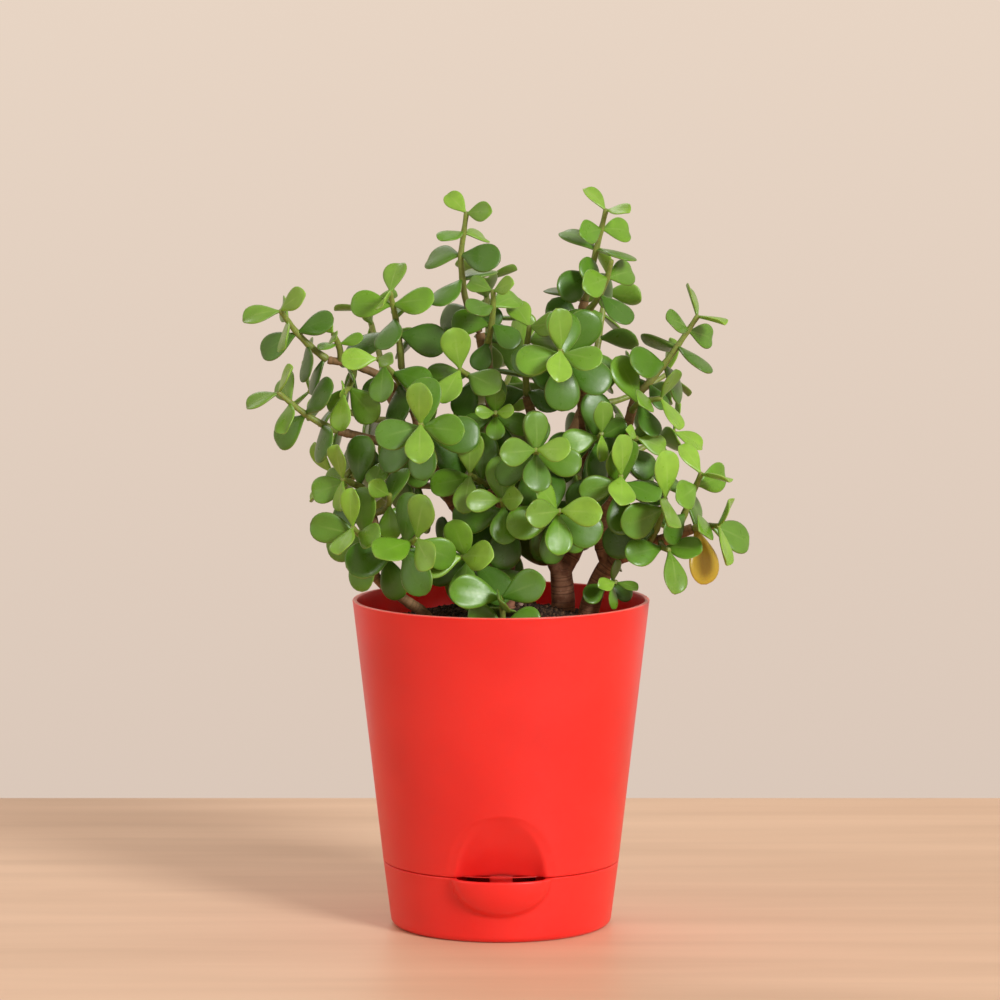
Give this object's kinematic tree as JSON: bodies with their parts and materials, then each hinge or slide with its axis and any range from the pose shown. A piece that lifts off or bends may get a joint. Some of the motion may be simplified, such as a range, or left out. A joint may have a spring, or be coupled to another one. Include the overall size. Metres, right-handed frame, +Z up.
{
  "type": "potted jade plant",
  "caption": "Small bushy jade plant with round fleshy leaves on forked woody stems, in a two-piece self-watering plastic pot with a pouring scoop at its foot.",
  "frame": {"origin": "middle of the pot's flat underside, on the surface it stands on", "axes": "+Z up along the pot's axis; -Y is the front, the side of the pouring scoop; +X is the right-hand side seen from the front"},
  "size_m": [0.1926, 0.1484, 0.2826],
  "materials": {
    "pot_plastic": "satin injection-moulded polypropylene, red all through",
    "soil": "dry crumbly coir and bark potting mix",
    "bark": "matt ringed bark with leaf scars",
    "leaf": "waxy fleshy leaf, satin, with a paler edge"
  },
  "bodies": {
    "root": {"reservoir_base": "pot_plastic", "planter": "pot_plastic", "soil": "soil", "stem_back": "bark", "stem_left": "bark", "stem_low_left": "bark", "stem_main": "bark", "stem_middle": "bark", "stem_right": "bark", "sprig_back_left": "leaf", "sprig_back_left_star": "leaf", "sprig_back_low_left": "leaf", "sprig_back_right": "leaf", "sprig_back_right_star": "leaf", "sprig_back_star": "leaf", "sprig_back_top": "leaf", "sprig_back_top_left": "leaf", "sprig_back_top_right": "leaf", "sprig_cross": "leaf", "sprig_crown_left": "leaf", "sprig_far_left": "leaf", "sprig_far_left_top": "leaf", "sprig_front_left_star": "leaf", "sprig_front_seedling": "leaf", "sprig_front_star": "leaf", "sprig_inner_left": "leaf", "sprig_inner_middle": "leaf", "sprig_inner_right": "leaf", "sprig_left_dark": "leaf", "sprig_left_inner": "leaf", "sprig_left_low_upper": "leaf", "sprig_left_mid": "leaf", "sprig_left_twig_tip": "leaf", "sprig_left_under": "leaf", "sprig_low_back": "leaf", "sprig_low_cross": "leaf", "sprig_low_left": "leaf", "sprig_low_left_back": "leaf", "sprig_low_left_star": "leaf", "sprig_low_middle": "leaf", "sprig_low_middle_left": "leaf", "sprig_low_right_back": "leaf", "sprig_middle": "leaf", "sprig_middle_left": "leaf", "sprig_middle_right": "leaf", "sprig_middle_top": "leaf", "sprig_right_end": "leaf", "sprig_right_high": "leaf", "sprig_right_low_end": "leaf", "sprig_right_mid": "leaf", "sprig_right_outer": "leaf", "sprig_right_seedling": "leaf", "sprig_right_under": "leaf", "sprig_right_upper": "leaf", "sprig_side_left": "leaf", "sprig_side_right": "leaf", "sprig_top_middle": "leaf", "sprig_top_right": "leaf", "sprig_top_right_side": "leaf", "sprig_upper_middle": "leaf"}
  },
  "joints": []
}
